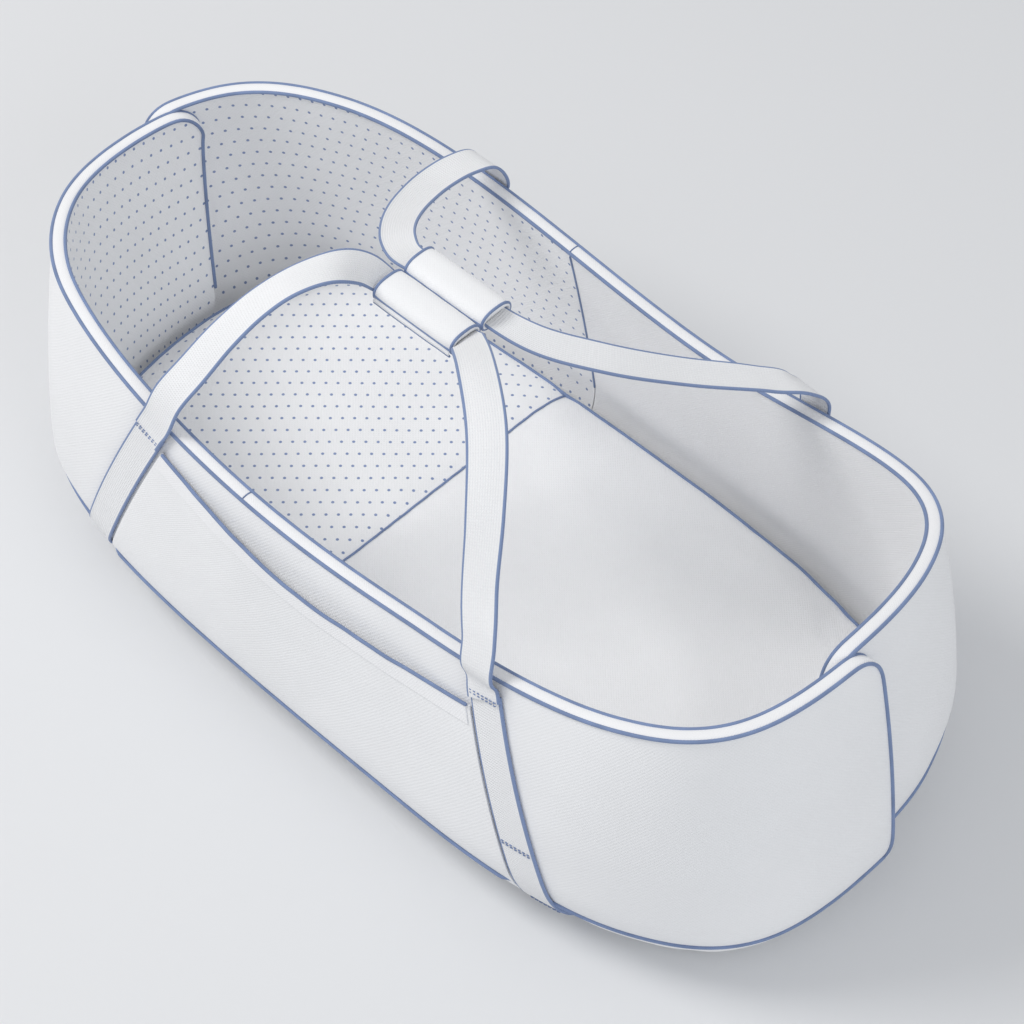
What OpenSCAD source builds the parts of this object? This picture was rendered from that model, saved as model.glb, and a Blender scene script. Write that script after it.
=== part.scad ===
// Soft carrycot bassinet: two padded side panels that overlap at the head
// and at the foot, a board-stiffened base, a fitted mattress, a patch pocket
// on the near side, and two webbing carry handles with padded grips.
// Origin: centre of the footprint on the floor. +X to the foot, -Y to the
// near side (the side with the pocket), +Z up. Millimetres.

/* [Cot] */
// Length over the rim, head to foot
rim_len = 780; // [760:1:800]
// Width over the rim at its widest
rim_w = 346; // [336:1:352]
// Height of the rim above the floor at mid length
rim_h = 215; // [205:1:225]
// Width over the base bulge at its widest
base_w = 414; // [408:1:422]
// Thickness of the padded wall at the rim
wall_t = 10; // [8:0.5:12]
// Thickness of the outer fabric, lining and pocket cloth
cloth_t = 1.5; // [1:0.1:1.8]

/* [Mattress] */
// Height of the mattress top above the floor
mat_top = 57; // [54:1:60]
// Thickness of the mattress cover cloth
cover_t = 1.5; // [1:0.1:2]
// Where the printed head cloth is sewn to the plain foot cloth, along X
seam_x = -67; // [-80:1:-50]

/* [Handles] */
// Width of the webbing
web_w = 30; // [27:1:32]
// Thickness of the webbing
web_t = 2.4; // [2:0.1:2.6]
// Width of the webbing inside the grip, where it is folded
fold_w = 24; // [20:1:25]
// Length of each padded grip
grip_len = 80; // [70:1:90]
// Width of each padded grip
grip_w = 31; // [30:0.5:31]
// Height of each padded grip
grip_h = 15; // [13:0.5:16]
// Height of the sewn fold line that each handle swings about
pivot_z = 222; // [220:0.5:224]
// Distance of the fold line from the centre plane
pivot_y = 179.5; // [179:0.5:180.5]
// Where the two ends of each handle are sewn, along X from the middle of the rim
pivot_xh = -142.5; // [-146:0.5:-138]
pivot_xf = 192.5; // [188:0.5:196]

/* [Hidden] */

cloth_c = [0.95, 0.95, 0.96];
print_c = [0.86, 0.88, 0.92];
web_c = [0.90, 0.91, 0.94];
line_c = [0.52, 0.58, 0.72];
foam_c = [0.93, 0.92, 0.88];
board_c = [0.76, 0.68, 0.55];

lift = 2.6;          // the base sits this high on the two straps under it
round_h = 60;        // width of the rounding round the bottom
round_v = 70;        // height of that rounding
edge_a = 25;         // angle on the rounding where the walls are sewn to the base
bottom_v = 0.35;     // share of the wall that is rounding
cap_h = 3;           // height of the rim binding above the padding
lap = 5.5;           // how far a panel steps out or in where the panels overlap
gap = 0.3;
corner_r = 24;       // rounded top corner of each free panel edge
near_a = -0.073; near_b = 1.006;  // where the near panel starts and ends
far_a = 0.969; far_b = 1.97;    // where the far panel starts and ends
rim_half = 983;      // length of half the rim outline

SEAM_N = 0.438;      // station of the lining seam, near side
SEAM_F = 2 - SEAM_N; // the same on the far side

// ---- plan outlines: [x head, x foot, x widest, half width, four shape arms]
cx = 17.5;             // the footprint's middle lies this far footward of the rim's
rim_o  = [-rim_len / 2 - cx, rim_len / 2 - cx, 130 - cx, rim_w / 2, 230, 120, 195, 160];
base_o = [-373 - cx, 424 - cx, 150 - cx, base_w / 2, 205, 400, 258, 112];
inn_o  = [-343 - cx, 400 - cx, 90 - cx, 184, 195, 310, 275, 125];

function bz(a, b, c, d, t) = pow(1 - t, 3) * a + 3 * pow(1 - t, 2) * t * b + 3 * (1 - t) * t * t * c + t * t * t * d;
SEG = 36;
function half_pts(o) = [for (k = [0 : 2 * SEG]) k <= SEG
  ? let (t = k / SEG) [bz(o[0], o[0], o[2] - o[5], o[2], t), bz(0, -o[4], -o[3], -o[3], t)]
  : let (t = k / SEG - 1) [bz(o[2], o[2] + o[6], o[1], o[1], t), bz(-o[3], -o[3], -o[7], 0, t)]];
function run(p) = [for (i = 0, s = 0; i < len(p); i = i + 1, s = s + (i < len(p) ? norm(p[i] - p[i - 1]) : 0)) s];
function tab(o) = let (p = half_pts(o), s = run(p), L = s[len(s) - 1])
  [[for (i = [0 : len(p) - 1]) [s[i] / L, p[i][0]]], [for (i = [0 : len(p) - 1]) [s[i] / L, p[i][1]]]];
RIM = tab(rim_o);
BASE = tab(base_o);
INN = tab(inn_o);

// station T: 0 at the head, 1 at the foot along the near side, 2 back at the head
function at(tb, T) = let (q = T - 2 * floor(T / 2), n = q <= 1, s = n ? q : 2 - q)
  [lookup(s, tb[0]), lookup(s, tb[1]) * (n ? 1 : -1)];
function nrm(tb, T) = let (d = at(tb, T + 0.004) - at(tb, T - 0.004), l = norm(d)) [d[1], -d[0]] / l;
function rim_z(x) = let (u = (x + cx) / 390) rim_h - 22 * u + 89 * u * u + 42 * u * u * u - 52 * u * u * u * u;
function drop(e) = e < corner_r ? corner_r - sqrt(corner_r * corner_r - pow(corner_r - max(e, 0), 2)) : 0;
function ramp(x) = let (c = min(max(x, 0), 1)) c * c * (3 - 2 * c);
function mix(a, b, s) = a * (1 - s) + b * s;
function uv(v) = v / norm(v);
function v3(p, z) = [p[0], p[1], z];

// side: 1 for the near panel, -1 for the far one
function full_z(T) = rim_z(at(RIM, T)[0]) - cap_h;
function top_z(side, T) = let (a = side > 0 ? near_a : far_a, b = side > 0 ? near_b : far_b)
  full_z(T) - drop((T - a) * rim_half) - drop((b - T) * rim_half);
// share of the way up the full wall, from z0, that a panel with rounded corners reaches
function reach(side, T, z0) = (top_z(side, T) - z0) / (full_z(T) - z0);
// how fully a panel is stepped out (+1) or in (-1) at station T
function step(side, T) = let (q = T - 2 * floor(T / 2), dh = min(q, 2 - q), df = abs(q - 1))
  side * (ramp((0.2 - df) / 0.11) - ramp((0.2 - dh) / 0.11));

// surfaces before the overlap step; v runs 0 (sewn edge) to 1 (top), below 0 under the base
function ang(v) = v < 0 ? edge_a * (1 + v) : edge_a + (90 - edge_a) * v / bottom_v;
function raw_out(side, T, v) = v < bottom_v
  ? let (a = ang(v)) v3(at(BASE, T) - nrm(BASE, T) * round_h * (1 - sin(a)), lift + round_v * (1 - cos(a)))
  : let (s = (v - bottom_v) / (1 - bottom_v) * reach(side, T, lift + round_v))
    v3(mix(at(BASE, T), at(RIM, T), s) + nrm(RIM, T) * 16 * s * (1 - s), mix(lift + round_v, full_z(T), s));
IN_Z = [[0, 16], [0.1, 22], [0.2, 36], [bottom_v, 57]];
IN_D = [[0, 26], [0.1, 14], [0.2, 4], [bottom_v, 0]];
function raw_in(side, T, v) = v < bottom_v
  ? v3(at(INN, T) - nrm(INN, T) * lookup(v, IN_D), lookup(v, IN_Z))
  : let (s = (v - bottom_v) / (1 - bottom_v) * reach(side, T, 57))
    v3(mix(at(INN, T), at(RIM, T) - nrm(RIM, T) * wall_t, s) + nrm(RIM, T) * 8 * s * (1 - s), mix(57, full_z(T), s));
function face_n(T, v) = v < bottom_v ? let (a = ang(v), n = nrm(BASE, T)) [n[0] * sin(a), n[1] * sin(a), -cos(a)]
  : let (n = nrm(RIM, T)) [n[0], n[1], 0];

// the head end of the near panel is cut so that it leans toward the foot lower down
function lean(side, T, v) = side > 0 ? T + 0.043 * (1 - max(v, 0)) * ramp((0.07 - T) / 0.143) : T;
function p_out(side, T0, v) = let (T = lean(side, T0, v), w = step(side, T), a = raw_out(side, T, v), b = raw_in(side, T, v), n = v3(nrm(RIM, T), 0))
  w >= 0 ? a + n * lap * w : mix(a, mix(a, b, 0.5) - n * 0.5, -w);
function p_in(side, T0, v) = let (T = lean(side, T0, v), w = step(side, T), a = raw_out(side, T, v), b = raw_in(side, T, v), n = v3(nrm(RIM, T), 0))
  w >= 0 ? mix(b, mix(a, b, 0.5) + n * 0.5, w) : b + n * lap * w;
// a point d mm into the wall from outside (d >= 0) or from inside (d < 0)
function layer(side, T, v, d) = let (a = p_out(side, T, v), b = p_in(side, T, v), u = uv(b - a)) d >= 0 ? a + u * d : b + u * d;

// stations shared by every layer of both panels, closer together where the panels overlap
GRID = concat([for (i = [-8 : -2]) i * 0.01], [for (i = [0 : 14]) 0.01 + i * 0.03], [SEAM_N], [for (i = [0 : 15]) 0.46 + i * 0.03],
  [for (i = [0 : 8]) 0.935 + i * 0.0125], [for (i = [0 : 16]) 1.065 + i * 0.03], [SEAM_F], [for (i = [0 : 10]) 1.59 + i * 0.03], [1.92, 1.93, 1.94, 1.95]);
function stations(a, b) = concat([a, a + 0.003, a + 0.008, a + 0.015], [for (T = GRID) if (T > a + 0.019 && T < b - 0.019) T],
  [b - 0.015, b - 0.008, b - 0.003, b]);
function from_to(S, a, b) = concat(a > S[0] + 0.001 ? [a] : [], [for (T = S) if (T > a - 0.0001 && T < b + 0.0001) T], b < S[len(S) - 1] - 0.001 ? [b] : []);
function even(a, b, n) = [for (i = [0 : n]) mix(a, b, i / n)];
LEVELS = [0, 0.07, 0.14, 0.21, 0.28, bottom_v, 0.5, 0.68, 0.84, 1];

// ---- builders
module slab(A, B) {
  n = len(A) - 1; m = len(A[0]) - 1; w = m + 1; o = (n + 1) * w;
  pts = concat([for (r = A) each r], [for (r = B) each r]);
  F = concat(
    [for (i = [0 : n - 1], j = [0 : m - 1]) each [[i * w + j, i * w + j + 1, (i + 1) * w + j + 1], [i * w + j, (i + 1) * w + j + 1, (i + 1) * w + j]]],
    [for (i = [0 : n - 1], j = [0 : m - 1]) each [[o + i * w + j, o + (i + 1) * w + j + 1, o + i * w + j + 1], [o + i * w + j, o + (i + 1) * w + j, o + (i + 1) * w + j + 1]]],
    [for (i = [0 : n - 1]) each [[i * w, (i + 1) * w, o + (i + 1) * w], [i * w, o + (i + 1) * w, o + i * w],
      [(i + 1) * w + m, i * w + m, o + i * w + m], [(i + 1) * w + m, o + i * w + m, o + (i + 1) * w + m]]],
    [for (j = [0 : m - 1]) each [[j + 1, j, o + j], [j + 1, o + j, o + j + 1],
      [n * w + j, n * w + j + 1, o + n * w + j + 1], [n * w + j, o + n * w + j + 1, o + n * w + j]]]);
  polyhedron(points = pts, faces = F);
}
// closed loft through rings that run clockwise when seen along the way of travel
module loft(R) {
  n = len(R) - 1; m = len(R[0]);
  pts = [for (r = R) each r];
  F = concat([for (i = [0 : n - 1], k = [0 : m - 1]) let (a = i * m + k, b = i * m + (k + 1) % m) each [[a, a + m, b + m], [a, b + m, b]]],
    [[for (k = [0 : m - 1]) k]], [[for (k = [m - 1 : -1 : 0]) n * m + k]]);
  polyhedron(points = pts, faces = F);
}
module wall_part(side, S, d0, d1)
  slab([for (T = S) [for (v = LEVELS) layer(side, T, v, d0)]], [for (T = S) [for (v = LEVELS) layer(side, T, v, d1)]]);
NEAR = stations(near_a, near_b);
FAR = stations(far_a, far_b);
// ring of an outline drawn in by d, at height z
function ring(tb, d, z, n) = [for (k = [0 : n - 1]) let (T = 2 * k / n) v3(at(tb, T) - nrm(tb, T) * d, z)];
function flat(tb, d, n) = [for (k = [0 : n - 1]) let (T = 2 * k / n) at(tb, T) - nrm(tb, T) * d];
// a strip of webbing lying on the outside of a wall between stations that shift with height
module on_wall(side, T0, T1, va, vb, n, width, off, t) {
  function T(v, e) = mix(T0, T1, max(v, 0)) + e * width / rim_half;
  V = even(va, vb, n);
  slab([for (e = [-0.5, 0, 0.5]) [for (v = V) p_out(side, T(v, e), v) + face_n(T(v, e), v) * (off + t + 0.55 * ramp(v / 0.12))]],
       [for (e = [-0.5, 0, 0.5]) [for (v = V) p_out(side, T(v, e), v) + face_n(T(v, e), v) * (off + 0.55 * ramp(v / 0.12))]]);
}

// ---- sewn pieces of the cot
module base_panel() color(cloth_c) loft([for (a = [0, 8, 16, edge_a - 1]) ring(BASE, round_h * (1 - sin(a)), lift + round_v * (1 - cos(a)), 72)]);
module base_board() color(board_c) translate([0, 0, 8.8]) linear_extrude(3) polygon(flat(BASE, 48, 72));
module base_lining() color(cloth_c) translate([0, 0, 12]) linear_extrude(1.2) polygon(flat(BASE, 50, 72));

module side_panel_near() color(cloth_c) wall_part(1, NEAR, 0, cloth_t);
module side_panel_far() color(cloth_c) wall_part(-1, FAR, 0, cloth_t);
module wall_padding_near() color(foam_c) wall_part(1, NEAR, cloth_t + 0.1, -cloth_t - 0.1);
module wall_padding_far() color(foam_c) wall_part(-1, FAR, cloth_t + 0.1, -cloth_t - 0.1);
module lining_head_near() color(print_c) wall_part(1, from_to(NEAR, near_a, SEAM_N - 0.0005), -cloth_t, -0.001);
module lining_foot_near() color(cloth_c) wall_part(1, from_to(NEAR, SEAM_N + 0.0005, near_b), -cloth_t, -0.001);
module lining_head_far() color(print_c) wall_part(-1, from_to(FAR, SEAM_F + 0.0005, far_b), -cloth_t, -0.001);
module lining_foot_far() color(cloth_c) wall_part(-1, from_to(FAR, far_a, SEAM_F - 0.0005), -cloth_t, -0.001);

module binding(side, S) {
  function sec(T) = let (o = p_out(side, T, 1), i = p_in(side, T, 1), u = uv(i - o), w = norm(i - o), z = [0, 0, 1])
    [o + z * 0.25, o + z * 1.4 + u * 0.3, o + z * 2.4 + u * w * 0.2, o + z * cap_h + u * w * 0.5,
     i + z * 2.4 - u * w * 0.2, i + z * 1.4 - u * 0.3, i + z * 0.25];
  loft([for (T = S) sec(T)]);
}
module rim_binding_near() color(web_c) binding(1, NEAR);
module rim_binding_far() color(web_c) binding(-1, FAR);

// ---- pocket on the near wall
POC_A = 0.362; POC_B = 0.667; // between the two straps at the top
POC_A0 = 0.254; POC_B0 = 0.722; // and at the base
function poc_T(f, v) = mix(mix(POC_A0, POC_A, v), mix(POC_B0, POC_B, v), f);
function poc_top(f) = 0.91 - 0.04 * f;
function poc_p(f, g, d) = let (v = mix(0.03, poc_top(f), g), T = poc_T(f, v))
  p_out(1, T, v) + face_n(T, v) * (0.9 + d + 12.5 * pow(sin(180 * f), 1.5) * pow(g, 3));
POC_G = [0, 0.06, 0.12, 0.18, 0.25, 0.32, 0.4, 0.52, 0.68, 0.85, 1];
module pocket() color(cloth_c) slab([for (f = even(0, 1, 24)) [for (g = POC_G) poc_p(f, g, cloth_t)]],
  [for (f = even(0, 1, 24)) [for (g = POC_G) poc_p(f, g, 0)]]);
module pocket_hem() color(web_c) slab([for (f = even(0.01, 0.99, 24)) [for (g = [0.93, 0.965, 1]) poc_p(f, g, cloth_t + 1.2)]],
  [for (f = even(0.01, 0.99, 24)) [for (g = [0.93, 0.965, 1]) poc_p(f, g, cloth_t + 0.1)]]);

// ---- mattress: an inner foam and a two-piece cover, drawn in where the panels step inward
function tuck(T) = let (q = T - 2 * floor(T / 2)) 6 * ramp((0.225 - min(min(q, 2 - q), abs(q - 1))) / 0.11);
function pad_ring(d, z, n) = [for (k = [0 : n - 1]) let (T = 2 * k / n) v3(at(INN, T) - nrm(INN, T) * (d + tuck(T)), z)];
module pad(e) loft([for (r = [[30, 13.5], [28.5, 18], [17.5, 25], [8.5, 39], [4.5, 48], [5.5, 53.5], [9.5, mat_top]])
  pad_ring(r[0] + e, r[1] < 20 ? r[1] + e : r[1] > 50 ? r[1] - e : r[1], 72)]);
module mattress_foam() color(foam_c) pad(cover_t + 0.05);
module cover_piece(x0, x1) intersection() {
  difference() { pad(0); pad(cover_t); }
  translate([x0, -250, 0]) cube([x1 - x0, 500, 100]);
}
module mattress_cover_head() color(print_c) cover_piece(-450, seam_x - 0.1);
module mattress_cover_foot() color(cloth_c) cover_piece(seam_x + 0.1, 450);

// ---- webbing sewn down: up the walls and across under the base
HEAD_T0 = 0.236; HEAD_T1 = 0.344;   // head straps, station at base and at rim
FOOT_T0 = 0.740; FOOT_T1 = 0.685;   // foot straps
STRAP_TOP = 0.925;
module wall_strap_near_head() color(web_c) on_wall(1, HEAD_T0, HEAD_T1, -1, STRAP_TOP, 22, web_w, 0.15, web_t);
module wall_strap_near_foot() color(web_c) on_wall(1, FOOT_T0, FOOT_T1, -1, STRAP_TOP, 22, web_w, 0.15, web_t);
module wall_strap_far_head() color(web_c) on_wall(-1, 2 - HEAD_T0, 2 - HEAD_T1, -1, STRAP_TOP, 22, web_w, 0.15, web_t);
module wall_strap_far_foot() color(web_c) on_wall(-1, 2 - FOOT_T0, 2 - FOOT_T1, -1, STRAP_TOP, 22, web_w, 0.15, web_t);
module base_strap(T0) {
  p = p_out(1, T0 - web_w / 2 / rim_half, -1); q = p_out(1, T0 + web_w / 2 / rim_half, -1);
  translate([0, 0, 0.05]) linear_extrude(web_t) polygon([[p[0], p[1]], [q[0], q[1]], [q[0], -q[1]], [p[0], -p[1]]]);
}
module base_strap_head() color(web_c) base_strap(HEAD_T0);
module base_strap_foot() color(web_c) base_strap(FOOT_T0);

// ---- lines of stitching across the sewn straps
module tack(side, T0, T1, v) on_wall(side, T0, T1, v - 0.005, v + 0.005, 1, web_w - 4, web_t + 0.25, 0.7);
module strap_stitching() color(line_c) {
  for (v = [0.18, 0.885, 0.91]) {
    tack(1, HEAD_T0, HEAD_T1, v); tack(1, FOOT_T0, FOOT_T1, v);
    tack(-1, 2 - HEAD_T0, 2 - HEAD_T1, v); tack(-1, 2 - FOOT_T0, 2 - FOOT_T1, v);
  }
  tack(1, FOOT_T0, FOOT_T1, 0.44); tack(-1, 2 - FOOT_T0, 2 - FOOT_T1, 0.44);
}

// ---- carry handles: [x, y, z, heading of the width, width]
NEAR_PATH = [
  [pivot_xh, -pivot_y, pivot_z, 0, web_w], [-142, -179, 236, 0, web_w], [-135, -172, 256, -2, web_w],
  [-125, -154, 281, -5, web_w], [-113, -130, 311, -15, web_w], [-103, -106, 331, -26, web_w],
  [-91, -81, 345, -40, web_w], [-80, -53, 346, -56, web_w - 1], [-71, -27, 332, -76, web_w - 3],
  [-61, -16, 317, -88, fold_w], [-40, -16, 315, -90, fold_w], [-20, -16, 315, -90, fold_w], [0, -16, 315, -90, fold_w],
  [21, -16, 317, -92, fold_w], [34, -27, 332, -106, web_w - 3],
  [63, -49, 350, -130, web_w - 1], [110, -86, 347, -150, web_w], [147, -126, 315, -165, web_w],
  [168, -153, 277, -175, web_w], [185, -171, 252, -180, web_w], [192, -179, 236, -180, web_w], [pivot_xf, -pivot_y, pivot_z, -180, web_w]];
FAR_PATH = [
  [pivot_xh, pivot_y, pivot_z, 0, web_w], [-143, 179, 240, 0, web_w], [-144, 168, 256, 2, web_w],
  [-147, 147, 262, 5, web_w], [-146, 118, 267, 12, web_w], [-138, 90, 275, 26, web_w],
  [-126, 65, 285, 42, web_w], [-111, 44, 295, 57, web_w - 1], [-94, 28, 304, 72, web_w - 2], [-76, 18, 310, 84, web_w - 4],
  [-58, 16, 314, 90, fold_w], [-40, 16, 315, 90, fold_w], [-20, 16, 315, 90, fold_w], [0, 16, 315, 90, fold_w],
  [20, 16, 314, 90, fold_w], [48, 23, 309, 104, web_w - 3], [91, 53, 296, 128, web_w],
  [131, 97, 277, 148, web_w], [170, 143, 262, 170, web_w], [187, 164, 253, 178, web_w], [192, 178, 240, 180, web_w], [pivot_xf, pivot_y, pivot_z, 180, web_w]];
function cr(a, b, c, d, t) = 0.5 * (2 * b + (c - a) * t + (2 * a - 5 * b + 4 * c - d) * t * t + (3 * b - a - 3 * c + d) * t * t * t);
function smooth(P, k) = let (n = len(P) - 1) concat([for (i = [0 : n - 1], j = [0 : k - 1])
  cr(P[max(i - 1, 0)], P[i], P[i + 1], P[min(i + 2, n)], j / k)], [P[n]]);
module ribbon(P, k) {
  S = smooth(P, k); n = len(S) - 1;
  function pos(i) = [S[i][0] - cx, S[i][1], S[i][2]];
  loft([for (i = [0 : n]) let (t = uv(pos(min(i + 1, n)) - pos(max(i - 1, 0))), g = [cos(S[i][3]), sin(S[i][3]), 0],
    w = uv(g - t * (g * t)), q = uv(cross(w, t)), a = w * S[i][4] / 2, b = q * web_t / 2)
    [pos(i) - a - b, pos(i) - a + b, pos(i) + a + b, pos(i) + a - b]]);
}
module handle_near() color(web_c) ribbon(NEAR_PATH, 3);
module handle_far() color(web_c) ribbon(FAR_PATH, 3);

// padded sleeve: arched over the top, flatter below, with a slot for the webbing
module grip(side) {
  translate([-20 - cx - grip_len / 2, side * 16, 315.5]) rotate([90, 0, 90]) linear_extrude(grip_len) difference() {
    polygon([for (a = [0 : 15 : 345]) let (c = cos(a), s = sin(a))
      [sign(c) * pow(abs(c), 0.75) * grip_w / 2, s > 0 ? pow(s, 0.9) * grip_h * 0.6 : -pow(-s, 0.6) * grip_h * 0.42]]);
    translate([-fold_w / 2 - 0.5, -3.4]) square([fold_w + 1, 8.6]);
  }
}
module grip_near() color(cloth_c) grip(-1);
module grip_far() color(cloth_c) grip(1);

base_panel();
base_board();
base_lining();
side_panel_near();
side_panel_far();
wall_padding_near();
wall_padding_far();
lining_head_near();
lining_head_far();
lining_foot_near();
lining_foot_far();
rim_binding_near();
rim_binding_far();
pocket();
pocket_hem();
mattress_foam();
mattress_cover_head();
mattress_cover_foot();
base_strap_head();
base_strap_foot();
wall_strap_near_head();
wall_strap_near_foot();
wall_strap_far_head();
wall_strap_far_foot();
strap_stitching();
handle_near();
handle_far();
grip_near();
grip_far();
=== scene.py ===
import math

import bmesh
import bpy
import numpy as np
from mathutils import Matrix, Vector
from mathutils.bvhtree import BVHTree


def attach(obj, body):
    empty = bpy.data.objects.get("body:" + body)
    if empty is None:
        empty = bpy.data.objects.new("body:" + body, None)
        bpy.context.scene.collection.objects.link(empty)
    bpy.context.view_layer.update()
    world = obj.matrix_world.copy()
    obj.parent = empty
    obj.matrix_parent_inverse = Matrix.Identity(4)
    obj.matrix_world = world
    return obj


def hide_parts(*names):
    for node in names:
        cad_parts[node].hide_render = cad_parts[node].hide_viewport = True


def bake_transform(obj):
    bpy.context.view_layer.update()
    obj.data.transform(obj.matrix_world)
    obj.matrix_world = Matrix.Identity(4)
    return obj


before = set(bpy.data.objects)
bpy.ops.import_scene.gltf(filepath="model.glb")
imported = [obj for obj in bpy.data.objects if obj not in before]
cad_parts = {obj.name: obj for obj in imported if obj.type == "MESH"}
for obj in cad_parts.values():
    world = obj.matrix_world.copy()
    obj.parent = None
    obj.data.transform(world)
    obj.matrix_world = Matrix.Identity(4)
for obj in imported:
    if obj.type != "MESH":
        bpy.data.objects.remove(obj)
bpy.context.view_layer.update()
scene = bpy.context.scene

# ------------------------------------------------------------------ camera
AZ, EL, DIST = math.radians(44.13), math.radians(50.5), 2.598
TARGET = Vector((0.0149, 0.0194, 0.100))
BACK = Vector((math.sin(AZ) * math.cos(EL), -math.cos(AZ) * math.cos(EL), math.sin(EL)))
cam = bpy.data.objects.new("camera", bpy.data.cameras.new("camera"))
scene.collection.objects.link(cam)
cam.location = TARGET + BACK * DIST
cam.rotation_mode = "QUATERNION"
cam.rotation_quaternion = (-BACK).to_track_quat("-Z", "Y")
cam.data.sensor_width = 36
cam.data.lens = 117.88
cam.data.clip_start, cam.data.clip_end = 0.05, 60
scene.camera = cam

# ------------------------------------------------------------------ shape of the cot, in mm as in part.scad
CX = 17.5
RIM_H, WALL_T, CAP = 215, 10, 3
LIFT, ROUND_H, ROUND_V, EDGE_A, BV = 2.6, 60, 70, 25, 0.35
LAP, RC, HALF = 5.5, 24, 983
ENDS = {1: (-0.073, 1.006), -1: (0.969, 1.97)}
SEAM = {1: 0.438, -1: 1.562}
SEAM_X = -67
HEAD_T, FOOT_T, STRAP_TOP = (0.236, 0.344), (0.740, 0.685), 0.955
WEB = 30.0
PIVOT_Y, PIVOT_Z = 179.5, 222.0


def bez(a, b, c, d, t):
    return (1 - t) ** 3 * a + 3 * (1 - t) ** 2 * t * b + 3 * (1 - t) * t * t * c + t**3 * d


class Outline:
    """A closed plan outline, mirrored about the X axis. Station T runs 0 head, 1 foot along the near side, 2 back at the head."""

    def __init__(self, o, n=500):
        t = np.linspace(0, 1, n + 1)
        self.x = np.r_[bez(o[0], o[0], o[2] - o[5], o[2], t), bez(o[2], o[2] + o[6], o[1], o[1], t[1:])]
        self.y = np.r_[bez(0, -o[4], -o[3], -o[3], t), bez(-o[3], -o[3], -o[7], 0, t[1:])]
        d = np.r_[0, np.cumsum(np.hypot(np.diff(self.x), np.diff(self.y)))]
        self.s, self.len = d / d[-1], d[-1]

    def at(self, T):
        q = np.mod(T, 2)
        near = q <= 1
        u = np.where(near, q, 2 - q)
        return np.stack([np.interp(u, self.s, self.x), np.interp(u, self.s, self.y) * np.where(near, 1, -1)], -1)

    def nrm(self, T):
        d = self.at(T + 0.004) - self.at(T - 0.004)
        return np.stack([d[..., 1], -d[..., 0]], -1) / np.linalg.norm(d, axis=-1, keepdims=True)


RIM = Outline([-390 - CX, 390 - CX, 130 - CX, 173, 230, 120, 195, 160])
BASE = Outline([-373 - CX, 424 - CX, 150 - CX, 207, 205, 400, 258, 112])
INN = Outline([-343 - CX, 400 - CX, 90 - CX, 184, 195, 310, 275, 125])


def ramp(x):
    c = np.clip(x, 0, 1)
    return c * c * (3 - 2 * c)


def mix(a, b, s):
    return a * (1 - s) + b * s


def unit(v):
    return v / np.maximum(np.linalg.norm(v, axis=-1, keepdims=True), 1e-9)


def rim_z(x):
    u = (x + CX) / 390
    return RIM_H - 22 * u + 89 * u**2 + 42 * u**3 - 52 * u**4


def drop(e):
    e = np.maximum(e, 0)
    return np.where(e < RC, RC - np.sqrt(np.maximum(RC * RC - (RC - np.minimum(e, RC)) ** 2, 0)), 0)


def full_z(T):
    return rim_z(RIM.at(T)[..., 0]) - CAP


def top_z(side, T):
    a, b = ENDS[side]
    return full_z(T) - drop((T - a) * HALF) - drop((b - T) * HALF)


def reach(side, T, z0):
    return (top_z(side, T) - z0) / (full_z(T) - z0)


def step(side, T):
    q = np.mod(T, 2)
    dh, df = np.minimum(q, 2 - q), np.abs(q - 1)
    return side * (ramp((0.2 - df) / 0.11) - ramp((0.2 - dh) / 0.11))


def v3(p, z):
    return np.concatenate([p, np.broadcast_to(z, p.shape[:-1])[..., None]], -1)


def raw_out(side, T, v):
    a = np.radians(np.where(v < 0, EDGE_A * (1 + v), EDGE_A + (90 - EDGE_A) * np.minimum(v, BV) / BV))
    B, nB, R, nR = BASE.at(T), BASE.nrm(T), RIM.at(T), RIM.nrm(T)
    low = v3(B - nB * (ROUND_H * (1 - np.sin(a)))[..., None], LIFT + ROUND_V * (1 - np.cos(a)))
    s = np.clip((v - BV) / (1 - BV), 0, None) * reach(side, T, LIFT + ROUND_V)
    high = v3(mix(B, R, s[..., None]) + nR * (16 * s * (1 - s))[..., None], mix(LIFT + ROUND_V, full_z(T), s))
    return np.where((v < BV)[..., None], low, high)


def raw_in(side, T, v):
    I, nI, R, nR = INN.at(T), INN.nrm(T), RIM.at(T), RIM.nrm(T)
    k = [0, 0.1, 0.2, BV]
    low = v3(I - nI * np.interp(v, k, [26, 14, 4, 0])[..., None], np.interp(v, k, [16, 22, 36, 57]))
    s = np.clip((v - BV) / (1 - BV), 0, None) * reach(side, T, 57.0)
    high = v3(mix(I, R - nR * WALL_T, s[..., None]) + nR * (8 * s * (1 - s))[..., None], mix(57.0, full_z(T), s))
    return np.where((v < BV)[..., None], low, high)


def flat_n(T):
    return v3(RIM.nrm(T), 0.0)


def face_n(T, v):
    a = np.radians(np.where(v < 0, EDGE_A * (1 + v), EDGE_A + (90 - EDGE_A) * np.minimum(v, BV) / BV))
    n = BASE.nrm(T)
    low = v3(n * np.sin(a)[..., None], -np.cos(a))
    return np.where((v < BV)[..., None], low, flat_n(T))


def lean(side, T, v):
    return T + 0.043 * (1 - np.maximum(v, 0)) * ramp((0.07 - T) / 0.143) if side > 0 else T


def both(side, T, v):
    """Outer and inner face of a padded side panel, with the overlap step."""
    T, v = np.broadcast_arrays(np.asarray(T, float), np.asarray(v, float))
    T = lean(side, T, v)
    w = step(side, T)[..., None]
    a, b, n = raw_out(side, T, v), raw_in(side, T, v), flat_n(T)
    mid = (a + b) / 2
    o = np.where(w >= 0, a + n * LAP * w, mix(a, mid - n * 0.5, -w))
    i = np.where(w >= 0, mix(b, mid + n * 0.5, w), b + n * LAP * w)
    return o, i


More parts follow.
